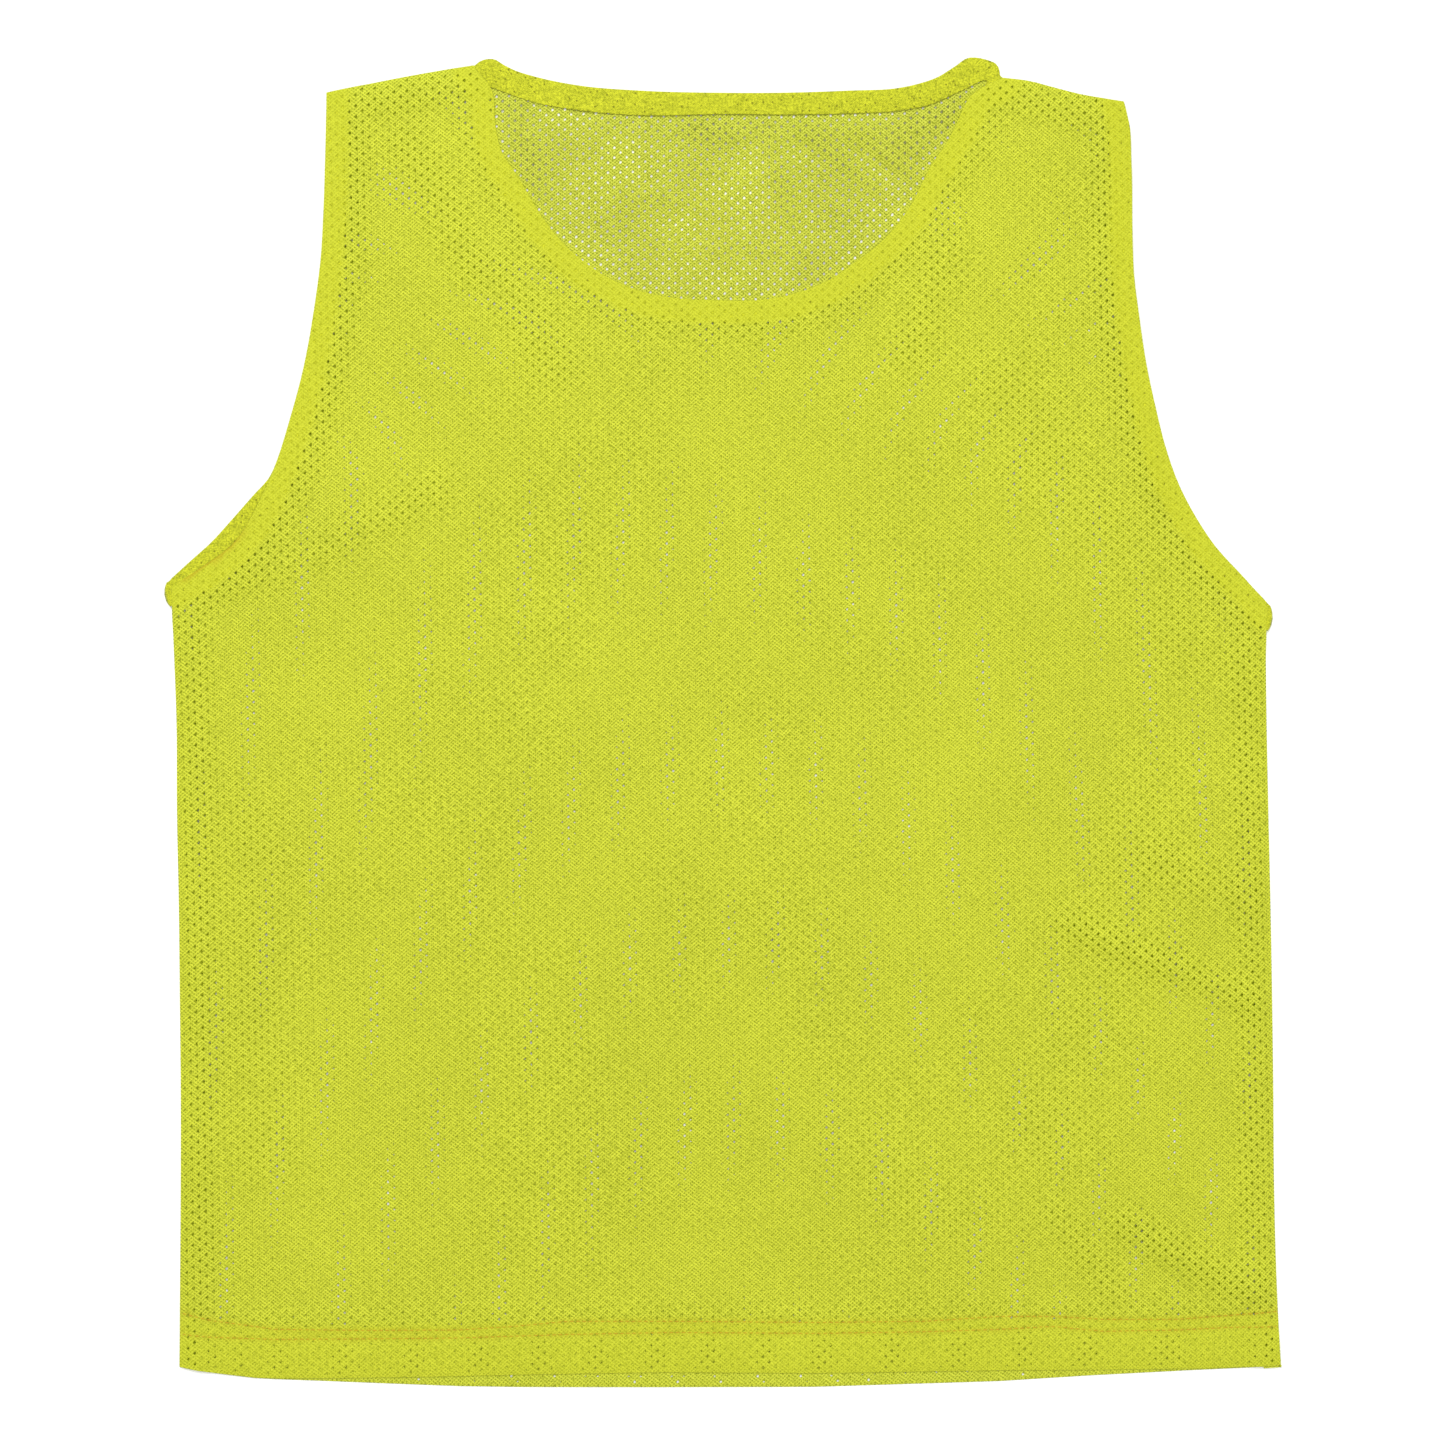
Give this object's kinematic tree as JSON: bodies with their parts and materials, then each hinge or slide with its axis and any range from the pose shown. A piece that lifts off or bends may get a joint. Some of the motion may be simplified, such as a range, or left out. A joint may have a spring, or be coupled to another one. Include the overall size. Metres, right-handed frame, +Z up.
{
  "type": "mesh training bib",
  "caption": "Sleeveless sports bib of holed net, laid flat: front and back panels, scoop neck, plain tape turned inside the neck and armholes, twin-stitched hems.",
  "frame": {"origin": "centre of the bounding box, on the surface that the back panel lies on", "axes": "+X to the right as seen from above, +Y from the hem to the shoulders, +Z up through the layers, out of the front"},
  "size_m": [0.5021, 0.5981, 0.0057],
  "materials": {
    "front_panel": "soft matt net",
    "back_panel": "soft matt net",
    "tape": "plain knit, matt"
  },
  "bodies": {
    "root": {"front_panel": "front_panel", "back_panel": "back_panel", "neck_tape": "tape", "armhole_tape_left": "tape", "armhole_tape_right": "tape"}
  },
  "joints": []
}
